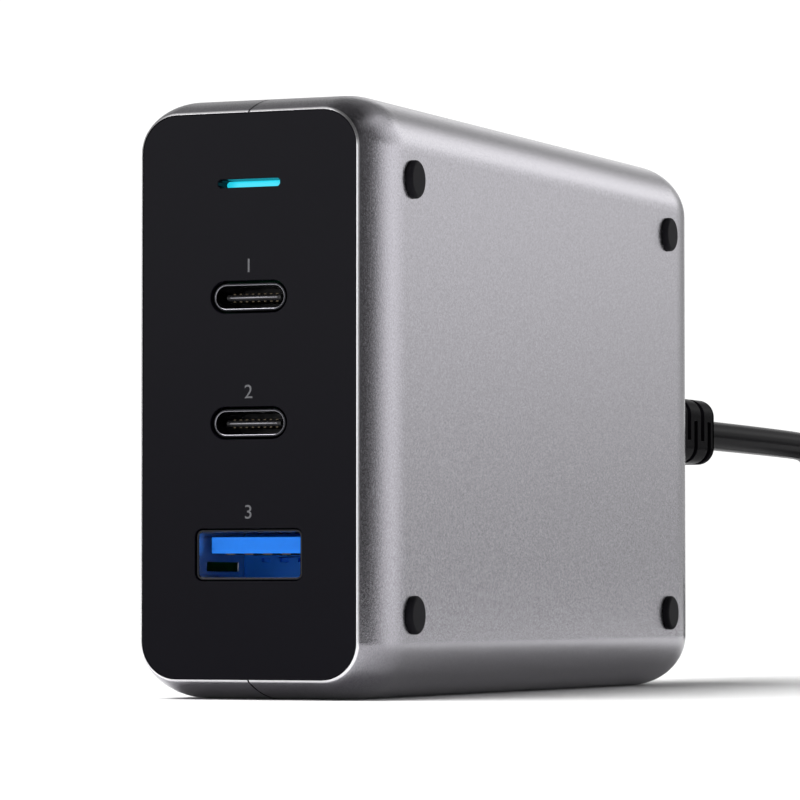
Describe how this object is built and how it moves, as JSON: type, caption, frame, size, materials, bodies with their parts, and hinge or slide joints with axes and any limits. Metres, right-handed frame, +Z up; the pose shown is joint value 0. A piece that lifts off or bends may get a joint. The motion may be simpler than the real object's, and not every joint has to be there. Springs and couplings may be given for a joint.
{
  "type": "desktop usb charger",
  "caption": "Upright mains charger with a grey rounded case, a gloss black front with USB-C and USB-A sockets and a light bar, and a black mains cord at the back.",
  "frame": {"origin": "on the floor under the middle of the case, on the plane where the case halves meet", "axes": "+Z up, -Y towards the front panel with the sockets, +Y along the mains cord, +X towards the side with the rubber feet"},
  "size_m": [0.034, 0.4023, 0.0684],
  "materials": {
    "case_grey": "moulded polycarbonate with fine metallic grey paint",
    "panel_black": "polished black acrylic",
    "light_guide": "clear acrylic lit from behind in cyan",
    "lamp_white": "moulded lamp package",
    "socket_steel": "plated drawn steel sheet",
    "socket_black": "moulded black nylon",
    "socket_blue": "moulded blue nylon",
    "contact_gold": "gold plated contact",
    "board_green": "green solder mask",
    "header_black": "moulded header",
    "ferrite": "sintered ferrite",
    "bobbin": "moulded phenolic",
    "winding_tape": "yellow tape over copper wire",
    "copper_wire": "enamelled copper",
    "can_sleeve": "shrink sleeve on an aluminium can",
    "can_bare": "bare aluminium can",
    "film_yellow": "moulded film capacitor case",
    "chip_black": "moulded epoxy",
    "spreader": "rolled sheet",
    "pad_grey": "soft silicone pad",
    "sheet_clear": "insulating film",
    "foot_rubber": "moulded rubber",
    "cord_black": "extruded flexible PVC",
    "tie_black": "woven hook and loop band",
    "plug_black": "moulded flexible PVC",
    "blade_plated": "nickel plated brass"
  },
  "bodies": {
    "root": {"case_left": "case_grey", "case_right": "case_grey", "front_panel": "panel_black", "light_bar": "light_guide", "light_source": "lamp_white", "port_board": "board_green", "main_board": "board_green", "board_connector": "header_black", "output_inductors": "ferrite", "output_capacitors": "can_bare", "transformer_core": "ferrite", "transformer_bobbin": "bobbin", "transformer_winding": "winding_tape", "thermal_pad": "pad_grey", "heat_spreader": "spreader", "insulating_sheet": "sheet_clear", "power_chips": "chip_black", "bulk_capacitor": "can_sleeve", "bridge_rectifier": "chip_black", "line_filter_capacitor": "film_yellow", "line_fuse": "chip_black", "line_choke_core": "ferrite", "line_choke_windings": "copper_wire", "strain_relief": "cord_black", "cord_wires": "cord_black", "cord_lead": "cord_black", "cord_hank": "cord_black", "cord_tie": "tie_black", "plug_body": "plug_black", "plug_blades": "blade_plated", "usb_c_upper_shell": "socket_steel", "usb_c_upper_tongue": "socket_black", "usb_c_upper_contacts": "contact_gold", "usb_c_lower_shell": "socket_steel", "usb_c_lower_tongue": "socket_black", "usb_c_lower_contacts": "contact_gold", "usb_a_shell": "socket_steel", "usb_a_tongue": "socket_blue", "usb_a_contacts": "contact_gold", "foot_front_upper": "foot_rubber", "foot_front_lower": "foot_rubber", "foot_rear_upper": "foot_rubber", "foot_rear_lower": "foot_rubber"}
  },
  "joints": []
}
